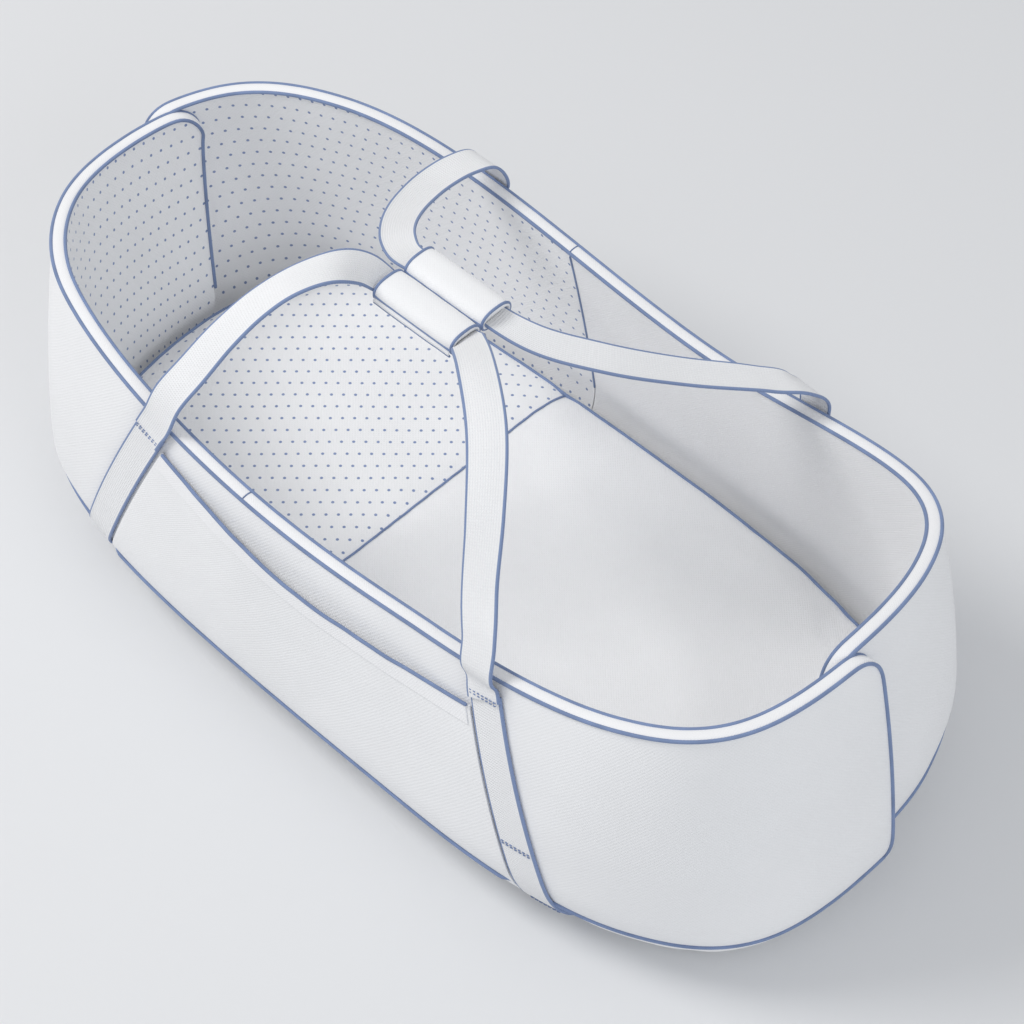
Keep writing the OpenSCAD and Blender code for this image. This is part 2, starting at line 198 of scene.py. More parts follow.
# ------------------------------------------------------------------ seeded smooth noise
def noise(u, v, seed):
    lat = np.random.RandomState(seed).uniform(-1, 1, (61, 61))
    iu, iv = np.floor(u).astype(int), np.floor(v).astype(int)
    fu, fv = u - iu, v - iv
    fu, fv = fu * fu * (3 - 2 * fu), fv * fv * (3 - 2 * fv)
    g = lambda a, b: lat[np.mod(a, 61), np.mod(b, 61)]
    return mix(mix(g(iu, iv), g(iu + 1, iv), fu), mix(g(iu, iv + 1), g(iu + 1, iv + 1), fu), fv)


def strap_T(side, kind, v):
    a, b = kind
    T = mix(a, b, np.maximum(v, 0))
    return T if side > 0 else 2 - T


def strap_gap(side, T, v):
    """Distance in mm from the middle of the nearest sewn strap."""
    d = [np.abs(T - strap_T(side, k, v)) * HALF for k in (HEAD_T, FOOT_T)]
    return np.minimum(d[0], d[1])


PIPE_V = 0.235


def puff_out(side, T, v):
    """How far the padded outer face stands proud of the plain CAD face, in mm."""
    T, v = np.broadcast_arrays(np.asarray(T, float), np.asarray(v, float))
    a, b = ENDS[side]
    edge = (1 - np.exp(-(1 - v) * 215 / 16)) * (1 - np.exp(-np.abs(v - PIPE_V) * 230 / 13))
    edge = edge * (1 - np.exp(-(T - a) * HALF / 16)) * (1 - np.exp(-(b - T) * HALF / 16))
    g = strap_gap(side, T, v)
    strap = 1 - np.exp(-(np.maximum(g - 15, 0) / 16) ** 1.3)
    w = step(side, T)
    free = np.where(w < 0, 1 + w, 1)
    s, h = T * HALF, v * 225
    low = noise(s / 62 + 7, h / 80 + 3, 11) + 0.5 * noise(s / 31 + 1, h / 44, 12)
    # slack folds that run up from the base seam, and short pulls beside the straps
    q = np.mod(T, 2)
    bend = np.exp(-((q - 0.02) / 0.16) ** 2) + np.exp(-((q - 1.0) / 0.17) ** 2) + np.exp(-((q - 1.98) / 0.16) ** 2) + 0.35
    gather = np.sin(s / 7.4 + 2.2 * noise(s / 45, h / 90, 13)) * np.exp(-np.maximum(v - PIPE_V, 0) * 225 / 26) * bend
    pull = np.sin(h / 8.5 + 2.5 * noise(s / 50, h / 60, 14)) * np.exp(-np.maximum(g - 15, 0) / 15) * (g > 15) * ramp((g - 15) / 6)
    d = 1.5 + 0.75 * low
    return (d * strap + 0.42 * gather + 0.45 * pull * ramp((v - 0.2) / 0.2)) * edge * free * ramp((v + 0.02) / 0.06)


def puff_in(side, T, v):
    T, v = np.broadcast_arrays(np.asarray(T, float), np.asarray(v, float))
    a, b = ENDS[side]
    edge = (1 - np.exp(-(1 - v) * 190 / 16)) * (1 - np.exp(-(T - a) * HALF / 16)) * (1 - np.exp(-(b - T) * HALF / 16))
    seam = 1 - np.exp(-np.abs(T - SEAM[side]) * HALF / 11)
    w = step(side, T)
    free = np.where(w > 0, 1 - w, 1)
    s, h = T * HALF, v * 200
    low = noise(s / 70 + 5, h / 75 + 9, 21) + 0.5 * noise(s / 33 + 2, h / 40 + 4, 22)
    gather = np.sin(h / 6.2 + 2 * noise(s / 40, h / 50, 23)) * np.exp(-np.abs(T - SEAM[side]) * HALF / 16)
    return (1.9 + 0.8 * low + 0.35 * gather) * seam * edge * free * ramp((v - 0.3) / 0.15)


def soften(P, it=4):
    """Rounds the kinks between the levels of a wall grid, leaving its first and last rows alone."""
    P = P.copy()
    for _ in range(it):
        P[:, 1:-1] = 0.25 * P[:, :-2] + 0.5 * P[:, 1:-1] + 0.25 * P[:, 2:]
    return P


# ------------------------------------------------------------------ mesh helpers
def make(name, verts, faces, uv=None, smooth=40):
    """A mesh from vertices in mm."""
    me = bpy.data.meshes.new(name)
    me.from_pydata((np.asarray(verts, float) / 1000).tolist(), [], faces)
    if uv is not None:
        idx = np.zeros(len(me.loops), np.int64)
        me.loops.foreach_get("vertex_index", idx)
        layer = me.uv_layers.new(name="UVMap")
        layer.data.foreach_set("uv", np.asarray(uv, np.float32)[idx].ravel())
    bm = bmesh.new()
    bm.from_mesh(me)
    bmesh.ops.remove_doubles(bm, verts=bm.verts, dist=1e-6)
    bmesh.ops.recalc_face_normals(bm, faces=bm.faces)
    bm.to_mesh(me)
    bm.free()
    me.shade_smooth()
    if smooth:
        me.set_sharp_from_angle(angle=math.radians(smooth))
    me.validate()
    o = bpy.data.objects.new(name, me)
    scene.collection.objects.link(o)
    return o


def slab(name, A, B, uvA, smooth=50):
    """A closed sheet between two matching grids of points."""
    n, m = A.shape[:2]
    o = n * m
    idx = np.arange(n * m).reshape(n, m)
    q = lambda a, b, c, d: np.stack([a, b, c, d], -1).reshape(-1, 4)
    top = q(idx[:-1, :-1], idx[:-1, 1:], idx[1:, 1:], idx[1:, :-1])
    bot = q(idx[:-1, :-1] + o, idx[1:, :-1] + o, idx[1:, 1:] + o, idx[:-1, 1:] + o)
    rim = []
    loop = np.r_[idx[0, :], idx[1:, -1], idx[-1, -2::-1], idx[-2:0:-1, 0]]
    nxt = np.roll(loop, -1)
    rim = q(loop, loop + o, nxt + o, nxt)
    faces = np.concatenate([top, bot, rim]).tolist()
    V = np.concatenate([A.reshape(-1, 3), B.reshape(-1, 3)])
    U = np.concatenate([uvA.reshape(-1, 2), uvA.reshape(-1, 2)])
    return make(name, V, faces, U, smooth)


def loft(name, R, uv=None, closed=False, smooth=50):
    """A closed solid through rings of points, R is rings x points x 3."""
    n, m = R.shape[:2]
    idx = np.arange(n * m).reshape(n, m)
    nx = np.roll(idx, -1, 1)
    if closed:
        a, b, c, d = idx, nx, np.roll(nx, -1, 0), np.roll(idx, -1, 0)
    else:
        a, b, c, d = idx[:-1], nx[:-1], nx[1:], idx[1:]
    faces = np.stack([a, b, c, d], -1).reshape(-1, 4).tolist()
    if not closed:
        faces += [idx[0, ::-1].tolist(), idx[-1].tolist()]
    return make(name, R.reshape(-1, 3), faces, None if uv is None else uv.reshape(-1, 2), smooth)


def frames(P, up=(0, 0, 1)):
    t = unit(np.gradient(P, axis=0))
    n = np.zeros_like(P)
    u = np.array(up, float)
    if abs(u @ t[0]) > 0.9:
        u = np.array([1.0, 0, 0])
    n[0] = unit(u - t[0] * (u @ t[0]))
    for k in range(1, len(P)):
        w = n[k - 1] - t[k] * (n[k - 1] @ t[k])
        n[k] = unit(w)
    return t, n, np.cross(t, n)


def run(P):
    return np.r_[0, np.cumsum(np.linalg.norm(np.diff(P, axis=0), axis=1))]


def even_path(P, gap):
    s = run(P)
    n = max(int(s[-1] / gap), 2)
    u = np.linspace(0, s[-1], n + 1)
    return np.stack([np.interp(u, s, P[:, k]) for k in range(3)], -1)


def tube(name, P, r, gap=4.0, sides=10, closed=False, taper=True):
    """A round piping cord along the points P, in mm."""
    P = np.asarray(P, float)
    if closed:
        P = np.concatenate([P, P[:1]])
    P = even_path(P, gap)
    if closed:
        P = P[:-1]
        t = unit(np.roll(P, -1, 0) - np.roll(P, 1, 0))
        n = np.zeros_like(P)
        u = np.array([0, 0, 1.0]) if abs(t[0][2]) < 0.9 else np.array([1.0, 0, 0])
        ref = unit(u - t[0] * (u @ t[0]))
        for k in range(len(P)):
            ref = unit(ref - t[k] * (ref @ t[k]))
            n[k] = ref
        b = np.cross(t, n)
    else:
        t, n, b = frames(P)
    ph = np.arange(sides) * 2 * np.pi / sides
    rr = np.full(len(P), float(r))
    R = P[:, None] + rr[:, None, None] * (np.cos(ph)[None, :, None] * n[:, None] + np.sin(ph)[None, :, None] * b[:, None])
    if not closed:  # rounded ends
        s = run(P)
        tips0 = [(P[0] - t[0] * r * k)[None] + (R[0] - P[0]) * math.sqrt(max(1 - k * k, 0.02)) for k in (0.95, 0.6)]
        tips1 = [(P[-1] + t[-1] * r * k)[None] + (R[-1] - P[-1]) * math.sqrt(max(1 - k * k, 0.02)) for k in (0.6, 0.95)]
        R = np.concatenate([np.array(tips0), R, np.array(tips1)])
    L = np.r_[0, np.cumsum(np.linalg.norm(np.diff(R.mean(1), axis=0), axis=1))]
    uv = np.stack(np.broadcast_arrays(np.arange(sides)[None] * 2 * np.pi * r / sides / 1000, L[:, None] / 1000), -1)
    return loft(name, R, uv, closed)


def join(name, objs):
    """One object from several, keeping their faces."""
    me = bpy.data.meshes.new(name)
    bm = bmesh.new()
    for o in objs:
        bm.from_mesh(o.data)
    bm.to_mesh(me)
    bm.free()
    me.shade_smooth()
    me.set_sharp_from_angle(angle=math.radians(50))
    for o in objs:
        old = o.data
        bpy.data.objects.remove(o)
        bpy.data.meshes.remove(old)
    o = bpy.data.objects.new(name, me)
    scene.collection.objects.link(o)
    return o


def stitches(name, rows, r=0.55, long=2.7, gap=1.1):
    """Rows of short rounded thread stitches; each row is a line of points in mm with the outward direction at each."""
    V, F = [], []
    base = 0
    for P, N in rows:
        s = run(P)
        k, pos = 0, 0.4
        while pos + long < s[-1]:
            u = pos + np.array([0, 0.14, 0.35, 0.65, 0.86, 1]) * long
            c = np.stack([np.interp(u, s, P[:, j]) for j in range(3)], -1)
            nn = unit(np.stack([np.interp(u, s, N[:, j]) for j in range(3)], -1))
            c = c + nn * (r * np.array([-0.9, 0.0, 0.45, 0.45, 0.0, -0.9]))[:, None]
            t = unit(np.gradient(c, axis=0))
            b = np.cross(t, nn)
            q = np.cross(b, t)
            ph = np.arange(6) * np.pi / 3
            rad = r * np.array([0.35, 0.8, 1, 1, 0.8, 0.35])
            R = c[:, None] + rad[:, None, None] * (np.cos(ph)[None, :, None] * q[:, None] + np.sin(ph)[None, :, None] * b[:, None])
            V.append(R.reshape(-1, 3))
            idx = base + np.arange(36).reshape(6, 6)
            nx = np.roll(idx, -1, 1)
            F += np.stack([idx[:-1], nx[:-1], nx[1:], idx[1:]], -1).reshape(-1, 4).tolist()
            F += [idx[0, ::-1].tolist(), idx[-1].tolist()]
            base += 36
            pos += long + gap
    return make(name, np.concatenate(V), F, np.zeros((base, 2)), 60)


# ------------------------------------------------------------------ materials
def lin(*c):
    return tuple(x / 12.92 if x <= 0.04045 else ((x + 0.055) / 1.055) ** 2.4 for x in c) + (1.0,)


SLATE = lin(0.50, 0.572, 0.72)
WHITE = lin(0.945, 0.948, 0.955)
LINEN = lin(0.955, 0.957, 0.963)


class Nodes:
    def __init__(self, name, rough=0.85, sheen=0.25):
        self.mat = bpy.data.materials.new(name)
        self.mat.use_nodes = True
        self.t = self.mat.node_tree
        self.b = self.t.nodes["Principled BSDF"]
        self.b.inputs["Roughness"].default_value = rough
        self.b.inputs["Sheen Weight"].default_value = sheen
        self.b.inputs["Sheen Roughness"].default_value = 0.45
        self.b.inputs["Specular IOR Level"].default_value = 0.25

    def new(self, kind, **kw):
        n = self.t.nodes.new(kind)
        for k, v in kw.items():
            setattr(n, k, v)
        return n

    def link(self, a, b):
        self.t.links.new(a, b)

    def put(self, node, slot, value):
        if hasattr(value, "is_linked") or isinstance(value, bpy.types.NodeSocket):
            self.link(value, node.inputs[slot])
        else:
            node.inputs[slot].default_value = value

    def math(self, op, a, b=0.0, c=0.0):
        n = self.new("ShaderNodeMath", operation=op)
        self.put(n, 0, a)
        self.put(n, 1, b)
        self.put(n, 2, c)
        return n.outputs[0]

    def range(self, x, a, b, c, d):
        n = self.new("ShaderNodeMapRange", interpolation_type="SMOOTHSTEP")
        self.put(n, "Value", x)
        for k, v in zip(("From Min", "From Max", "To Min", "To Max"), (a, b, c, d)):
            n.inputs[k].default_value = v
        return n.outputs["Result"]

    def blend(self, f, a, b):
        n = self.new("ShaderNodeMix", data_type="RGBA")
        self.put(n, "Factor", f)
        self.put(n, 6, a)
        self.put(n, 7, b)
        return n.outputs[2]

    def noise(self, scale, detail=2.0, rough=0.5, coord=None):
        n = self.new("ShaderNodeTexNoise")
        n.inputs["Scale"].default_value = scale
        n.inputs["Detail"].default_value = detail
        n.inputs["Roughness"].default_value = rough
        self.link(coord or self.obj(), n.inputs["Vector"])
        return n.outputs["Fac"]

    def coords(self):
        if not hasattr(self, "_tc"):
            self._tc = self.new("ShaderNodeTexCoord")
        return self._tc

    def obj(self):
        return self.coords().outputs["Object"]

    def uv(self):
        if not hasattr(self, "_uv"):
            s = self.new("ShaderNodeSeparateXYZ")
            self.link(self.coords().outputs["UV"], s.inputs[0])
            self._uv = (s.outputs[0], s.outputs[1])
        return self._uv

    def bump(self, height, strength, dist):
        n = self.new("ShaderNodeBump")
        n.inputs["Strength"].default_value = strength
        n.inputs["Distance"].default_value = dist
        self.link(height, n.inputs["Height"])
        if getattr(self, "_last", None) is not None:
            self.link(self._last, n.inputs["Normal"])
        self._last = n.outputs[0]
        self.link(self._last, self.b.inputs["Normal"])

    def color(self, c):
        self.put(self.b, "Base Color", c)


def weave(k, pitch=0.0015, strength=0.5, dist=0.00035):
    """Plain weave: threads over and under, with slubs."""
    u, v = k.uv()
    f = 2 * math.pi / (2 * pitch)
    a = k.math("SINE", k.math("MULTIPLY", u, f))
    b = k.math("SINE", k.math("MULTIPLY", v, f))
    over = k.math("MULTIPLY", a, b)
    slub = k.noise(420, 2, 0.6)
    h = k.math("ADD", k.math("MULTIPLY", over, 0.5), k.math("MULTIPLY", slub, 1.2))
    k.bump(h, strength, dist)
    return over


def shade(k, base, amount=0.03, scale=7.0):
    """A slow, slight change of tone, and finer fibre colour."""
    dark = tuple(c * (1 - 2.2 * amount) for c in base[:3]) + (1,)
    f = k.range(k.noise(scale, 3, 0.55), 0.3, 0.72, 0.0, 1.0)
    g = k.noise(900, 2, 0.7)
    mixed = k.math("ADD", k.math("MULTIPLY", f, 0.6), k.math("MULTIPLY", g, 0.5))
    return k.blend(k.math("MINIMUM", mixed, 1.0), dark, base)


def cloth(name, base, pitch=0.0015, **kw):
    k = Nodes(name, **kw)
    over = weave(k, pitch)
    c = shade(k, base)
    # painted shade: the hollows of the weave, where the bump dips, are darkened towards a darker copy of the base
    # colour
    c = k.blend(k.range(over, -1.0, 0.2, 0.16, 0.0), c, tuple(x * 0.82 for x in base[:3]) + (1,))
    k.color(c)
    return k.mat


def dots(k, pu, pv, r, turn=0.0):
    """Staggered rows of small printed dots, from UV in metres."""
    u, v = k.uv()
    if turn:
        c, s = math.cos(turn), math.sin(turn)
        u, v = (k.math("ADD", k.math("MULTIPLY", u, c), k.math("MULTIPLY", v, s)),
                k.math("SUBTRACT", k.math("MULTIPLY", v, c), k.math("MULTIPLY", u, s)))
    v = k.math("MULTIPLY", v, 1 / pv)
    row = k.math("FLOOR", v)
    half = k.math("MULTIPLY", k.math("FLOORED_MODULO", row, 2.0), 0.5)
    u = k.math("ADD", k.math("MULTIPLY", u, 1 / pu), half)
    fu = k.math("MULTIPLY", k.math("SUBTRACT", k.math("FRACT", u), 0.5), pu)
    fv = k.math("MULTIPLY", k.math("SUBTRACT", k.math("FRACT", v), 0.5), pv)
    d = k.math("SQRT", k.math("ADD", k.math("MULTIPLY", fu, fu), k.math("MULTIPLY", fv, fv)))
    return k.range(d, r * 0.72, r * 1.18, 1.0, 0.0)


def print_cloth(name, pu, pv, r, turn=0.0):
    k = Nodes(name)
    over = weave(k)
    base = shade(k, LINEN)
    ink = k.math("MULTIPLY", dots(k, pu, pv, r, turn), k.range(k.noise(700, 2), 0.25, 0.5, 0.82, 1.0))
    k.color(k.blend(ink, base, SLATE))
    return k.mat


def cord_cloth(name, base=SLATE):
    """Bias-cut cover of a piping cord: slanting fine threads."""
    k = Nodes(name, rough=0.8, sheen=0.15)
    u, v = k.uv()
    tw = k.math("SINE", k.math("MULTIPLY", k.math("ADD", u, v), 2 * math.pi / 0.0016))
    k.bump(k.math("ADD", k.math("MULTIPLY", tw, 0.5), k.noise(600, 2)), 0.4, 0.0003)
    dark = tuple(c * 0.86 for c in base[:3]) + (1,)
    k.color(k.blend(k.range(k.noise(60, 3), 0.3, 0.7, 0, 1), dark, base))
    return k.mat


def web_cloth(name):
    """Ribbed webbing: UV x runs -1 to 1 across, UV y is metres along."""
    k = Nodes(name, rough=0.7, sheen=0.15)
    u, v = k.uv()
    rib = k.math("ABSOLUTE", k.math("SINE", k.math("MULTIPLY", u, math.pi * 8)))
    pick = k.math("SINE", k.math("ADD", k.math("MULTIPLY", v, 2 * math.pi / 0.0023),
                                 k.math("MULTIPLY", k.math("PINGPONG", k.math("MULTIPLY", u, 8.0), 0.5), 5.0)))
    h = k.math("ADD", k.math("MULTIPLY", rib, 0.8), k.math("MULTIPLY", pick, 0.35))
    k.bump(k.math("ADD", h, k.math("MULTIPLY", k.noise(500, 2), 0.4)), 0.6, 0.0005)
    c = shade(k, WHITE, 0.03, 12)
    # painted shade: the grooves between the ribs, where the bump dips, are darkened to a cool grey
    c = k.blend(k.range(rib, 0.0, 0.35, 0.22, 0.0), c, lin(0.80, 0.82, 0.87))
    edge = k.range(k.math("ABSOLUTE", u), 0.845, 0.875, 0.0, 1.0)
    k.color(k.blend(edge, c, SLATE))
    return k.mat


M = {
    "outer": cloth("outer_cloth", WHITE),
    "lining": cloth("plain_lining", LINEN, 0.0013),
    "base": cloth("base_cloth", lin(0.91, 0.915, 0.925), 0.0018),
    "binding": cloth("binding_tape", lin(0.955, 0.957, 0.965), 0.0011, sheen=0.35),
    "pocket": cloth("pocket_cloth", WHITE),
    "grip": cloth("grip_cloth", lin(0.95, 0.953, 0.96), 0.0012, sheen=0.35),
    "print_bed": print_cloth("print_mattress", 0.0098, 0.0126, 0.00135, math.radians(44.13)),
    "print_wall": print_cloth("print_wall", 0.0108, 0.0136, 0.00135),
    "pipe": cord_cloth("piping_cord"),
    "thread": cord_cloth("thread", lin(0.47, 0.54, 0.69)),
    "web": web_cloth("webbing"),
}


def fibreboard():
    k = Nodes("fibreboard", rough=0.75, sheen=0.0)
    c = k.blend(k.noise(900, 4, 0.7), lin(0.62, 0.52, 0.38), lin(0.76, 0.66, 0.52))
    k.color(c)
    k.bump(k.noise(700, 3), 0.3, 0.0004)
    return k.mat


M["board"] = fibreboard()


def dress(o, mat, body="cot"):
    o.data.materials.clear()
    o.data.materials.append(M[mat])
    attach(o, body)
    return o


# ------------------------------------------------------------------ side panels, linings, binding and piping
def columns(side, gap=5.5, lo=None, hi=None):
    a, b = ENDS[side]
    th = np.linspace(0, np.pi / 2, 11)
    ca = a + RC * (1 - np.cos(th)) / HALF
    cb = b - RC * (1 - np.cos(th[::-1])) / HALF
    n = int((cb[0] - ca[-1]) * HALF / gap)
    T = np.r_[ca, np.linspace(ca[-1], cb[0], n + 1)[1:-1], cb]
    if lo is not None:
        T = np.r_[lo, T[T > lo + 0.001]]
    if hi is not None:
        T = np.r_[T[T < hi - 0.001], hi]
    return T


ROWS = np.r_[np.linspace(0, BV, 17), np.linspace(BV, 1, 33)[1:]]


def wall_grid(side, T, rows):
    """Finished outer and inner faces at stations T and levels rows."""
    TT, VV = np.meshgrid(T, rows, indexing="ij")
    o, i = both(side, TT, VV)
    o, i = soften(o), soften(i, 6)
    du = np.gradient(o, axis=0)
    dv = np.gradient(o, axis=1)
    no = unit(np.cross(du, dv))
    if np.mean(np.sum(no * flat_n(TT), -1)) < 0:
        no = -no
    du, dv = np.gradient(i, axis=0), np.gradient(i, axis=1)
    ni = unit(np.cross(du, dv))
    if np.mean(np.sum(ni * flat_n(TT), -1)) > 0:
        ni = -ni
    o = o + no * puff_out(side, TT, VV)[..., None]
    i = i + ni * puff_in(side, TT, VV)[..., None]
    return TT, VV, o, i, no, ni


def wall_uv(side, TT, P):
    h = np.concatenate([np.zeros_like(P[:, :1, 0]), np.cumsum(np.linalg.norm(np.diff(P, axis=1), axis=-1), axis=1)], 1)
    return np.stack([TT * HALF / 1000, h / 1000], -1)


def sheet_facts(P):
    """Width, length and area, in metres, of a grid of points laid flat."""
    rows = np.linalg.norm(np.diff(P, axis=0), axis=-1).sum(0).max() / 1000
    cols = np.linalg.norm(np.diff(P, axis=1), axis=-1).sum(1).max() / 1000
    a, b, c, d = P[:-1, :-1], P[1:, :-1], P[1:, 1:], P[:-1, 1:]
    area = (np.linalg.norm(np.cross(b - a, d - a), axis=-1) + np.linalg.norm(np.cross(b - c, d - c), axis=-1)).sum() / 2e6
    return cols, rows, area


name_of = {1: "near", -1: "far"}
loops = {}
for side in (1, -1):
    nm = name_of[side]
    T = columns(side)
    TT, VV, O, I, no, ni = wall_grid(side, T, ROWS)
    panel = slab(f"side_panel_{nm}_padded", O, I - ni * 1.7, wall_uv(side, TT, O))
    dress(panel, "outer")
    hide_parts(f"side_panel_{nm}", f"wall_padding_{nm}")
    s0 = SEAM[side]
    for part, lo, hi in (("head", None, s0 - 0.0006) if side > 0 else ("foot", None, s0 - 0.0006),
                         ("foot", s0 + 0.0006, None) if side > 0 else ("head", s0 + 0.0006, None)):
        Tp = columns(side, lo=lo, hi=hi)
        TTp, VVp, _, Ip, _, nip = wall_grid(side, Tp, ROWS)
        lin_o = slab(f"lining_{part}_{nm}_sheet", Ip, Ip - nip * 1.3, wall_uv(side, TTp, Ip))
        dress(lin_o, "print_wall" if part == "head" else "lining")
        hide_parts(f"lining_{part}_{nm}")
        w, l, area = sheet_facts(Ip)

    # the edge that runs up one free end, along the rim and down the other end
    a, b = ENDS[side]
    ev = np.linspace(0.03, 1, 60)
    Tl = np.r_[np.full(59, a), T, np.full(59, b)]
    Vl = np.r_[ev[:-1], np.ones(len(T)), ev[::-1][1:]]
    o, i = both(side, Tl, Vl)
    for _ in range(3):
        o[1:-1] = 0.25 * o[:-2] + 0.5 * o[1:-1] + 0.25 * o[2:]
        i[1:-1] = 0.25 * i[:-2] + 0.5 * i[1:-1] + 0.25 * i[2:]
    s = run((o + i) / 2)
    u = np.linspace(0, s[-1], int(s[-1] / 3.2))
    o = np.stack([np.interp(u, s, o[:, k]) for k in range(3)], -1)
    i = np.stack([np.interp(u, s, i[:, k]) for k in range(3)], -1)
    vl = np.interp(u, s, Vl)
    across = unit(i - o)
    d = unit(np.gradient((o + i) / 2, axis=0))
    m = unit(np.cross(across, d))
    mid = len(m) // 2
    if m[mid][2] < 0:
        m = -m
    keep = vl > 0.33
    k0, k1 = np.argmax(keep), len(keep) - np.argmax(keep[::-1])
    oo, ii, mm, ac = o[k0:k1], i[k0:k1], m[k0:k1], across[k0:k1]
    wd = np.linalg.norm(ii - oo, axis=1)
    ph = np.linspace(0, np.pi, 13)
    sec = [((oo + ii) / 2 - ac * (wd / 2 + 0.1)[:, None] * np.cos(p) + mm * (0.15 + 2.1 * np.sin(p) ** 0.8)) for p in ph]
    R = np.stack(sec, 1)
    L = run((oo + ii) / 2)
    wig = 0.16 * noise(L / 13, L * 0 + side, 31)[:, None, None]
    R = R + mm[:, None] * wig * np.sin(ph)[None, :, None]
    uv = np.stack(np.broadcast_arrays(ph[None] / np.pi * 0.014, L[:, None] / 1000), -1)
    bind = loft(f"rim_binding_{nm}_roll", R, uv, smooth=60)
    dress(bind, "binding")
    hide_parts(f"rim_binding_{nm}")
    out = o + m * 0.9 - across * 0.45
    inn = i + m * 0.9 + across * 0.45
    lim = vl > 0.05
    j0, j1 = np.argmax(lim), len(lim) - np.argmax(lim[::-1])
    dress(tube(f"edge_piping_{nm}_outer", out[j0:j1], 1.45, 3.5), "pipe")
    jn = vl > 0.37
    j0, j1 = np.argmax(jn), len(jn) - np.argmax(jn[::-1])
    dress(tube(f"edge_piping_{nm}_inner", inn[j0:j1], 1.45, 3.5), "pipe")
    loops[side] = (oo, ii, mm)

    # piping between wall and base
    a2, b2 = (a + 0.001, b - 0.001)
    Tb = np.linspace(a2, b2, 520)
    ob, _ = both(side, Tb, np.full_like(Tb, PIPE_V))
    nb = face_n(Tb, np.full_like(Tb, PIPE_V))
    # it lies over the foot of the pocket, which is sewn in under it
    over = ramp((Tb - 0.282) / 0.008) * ramp((0.706 - Tb) / 0.008) if side > 0 else 0 * Tb
    dress(tube(f"base_piping_{nm}", ob + nb * (0.5 + 2.9 * over)[:, None], 1.5, 4.0), "pipe")

    # seam where the printed lining meets the plain one, and the join of the binding over the rim
    vs = np.linspace(0.37, 0.985, 60)
    _, _, _, Is, _, nis = wall_grid(side, np.array([s0 - 0.004, s0, s0 + 0.004]), ROWS)
    line = np.stack([np.interp(vs, ROWS, Is[1, :, k]) for k in range(3)], -1)
    nrm_l = np.stack([np.interp(vs, ROWS, nis[1, :, k]) for k in range(3)], -1)
    dress(tube(f"lining_seam_{nm}", line + nrm_l * 0.25, 0.95, 4.0), "pipe")
    oj, ij = both(side, np.full(1, s0), np.ones(1))
    acj, wj = unit(ij - oj), np.linalg.norm(ij - oj)
    pj = np.linspace(0.12, np.pi - 0.12, 15)
    arc = (oj + ij) / 2 - acj * (wj / 2 + 0.1) * np.cos(pj)[:, None] + np.array([[0, 0, 1.0]]) * (0.25 + 2.15 * np.sin(pj) ** 0.8)[:, None]
    dress(tube(f"binding_join_{nm}", arc, 0.55, 1.5), "thread")

# ------------------------------------------------------------------ base
def polar_fill(ring, k):
    c = np.stack([np.clip(ring[:, 0], -215, 235), np.zeros(len(ring)), ring[:, 2]], -1)
    return c + (ring - c) * k


def base_rings(inset, z, ks):
    T = np.linspace(0, 2, 241)
    ring = v3(BASE.at(T) - BASE.nrm(T) * inset, np.full(T.shape, z))
    return np.stack([polar_fill(ring, k) for k in ks], 1)


T = np.linspace(0, 2, 241)
low = []
for a in (24, 20, 16, 12, 8, 4, 0):
    r = math.radians(a)
    low.append(v3(BASE.at(T) - BASE.nrm(T) * (ROUND_H * (1 - math.sin(r))), np.full(T.shape, LIFT + ROUND_V * (1 - math.cos(r)))))
ring0 = low[-1]
ks = np.r_[np.linspace(0.96, 0.0, 26)]
fill = [polar_fill(ring0, k) for k in ks]
G = np.stack(low + fill, 1)
rad = np.linalg.norm(G - G[:, -1:], axis=-1)
sag = 0.5 * noise(G[..., 0] / 60 + 9, G[..., 1] / 60 + 9, 41) * ramp(rad / 40)
G[..., 2] += np.clip(sag, -0.1, 0.6) * (np.arange(G.shape[1]) > 6)
G2 = G + np.array([0, 0, 1.5])
base = slab("base_panel_cloth", G[:, :-1], G2[:, :-1], G[:, :-1, :2] / 1000)
dress(base, "base")
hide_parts("base_panel")

G = base_rings(50, 12.1, np.r_[np.linspace(1, 0.0, 30)][:-1])
G[..., 2] += 0.25 * noise(G[..., 0] / 40 + 3, G[..., 1] / 40 + 3, 42)
bl = slab("base_lining_sheet", G, G + np.array([0, 0, 1.0]), G[..., :2] / 1000)
dress(bl, "lining")
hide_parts("base_lining")

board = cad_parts["base_board"]
board.data.materials.clear()
board.data.materials.append(M["board"])

# ------------------------------------------------------------------ mattress
def tuck(T):
    q = np.mod(T, 2)
    return 6 * ramp((0.225 - np.minimum(np.minimum(q, 2 - q), np.abs(q - 1))) / 0.11)


def catmull(P, k):
    P = np.asarray(P, float)
    n = len(P) - 1
    out = []
    for i in range(n):
        a, b, c, d = P[max(i - 1, 0)], P[i], P[i + 1], P[min(i + 2, n)]
        for j in range(k):
            t = j / k
            out.append(0.5 * (2 * b + (c - a) * t + (2 * a - 5 * b + 4 * c - d) * t * t + (3 * b - a - 3 * c + d) * t**3))
    out.append(P[-1])
    return np.array(out)


def pad_rings(shrink):
    prof = catmull([[36, 14.4], [29, 15.5], [22, 21], [14, 30], [8.5, 39], [5.2, 47], [6.0, 52], [9.5, 55.6], [16, 57.0]], 3)
    T = np.linspace(0, 2, 321)[:-1]
    R = [v3(INN.at(T) - INN.nrm(T) * (p[0] + shrink + tuck(T))[:, None], np.full(T.shape, p[1])) for p in prof]
    return np.array(R), T


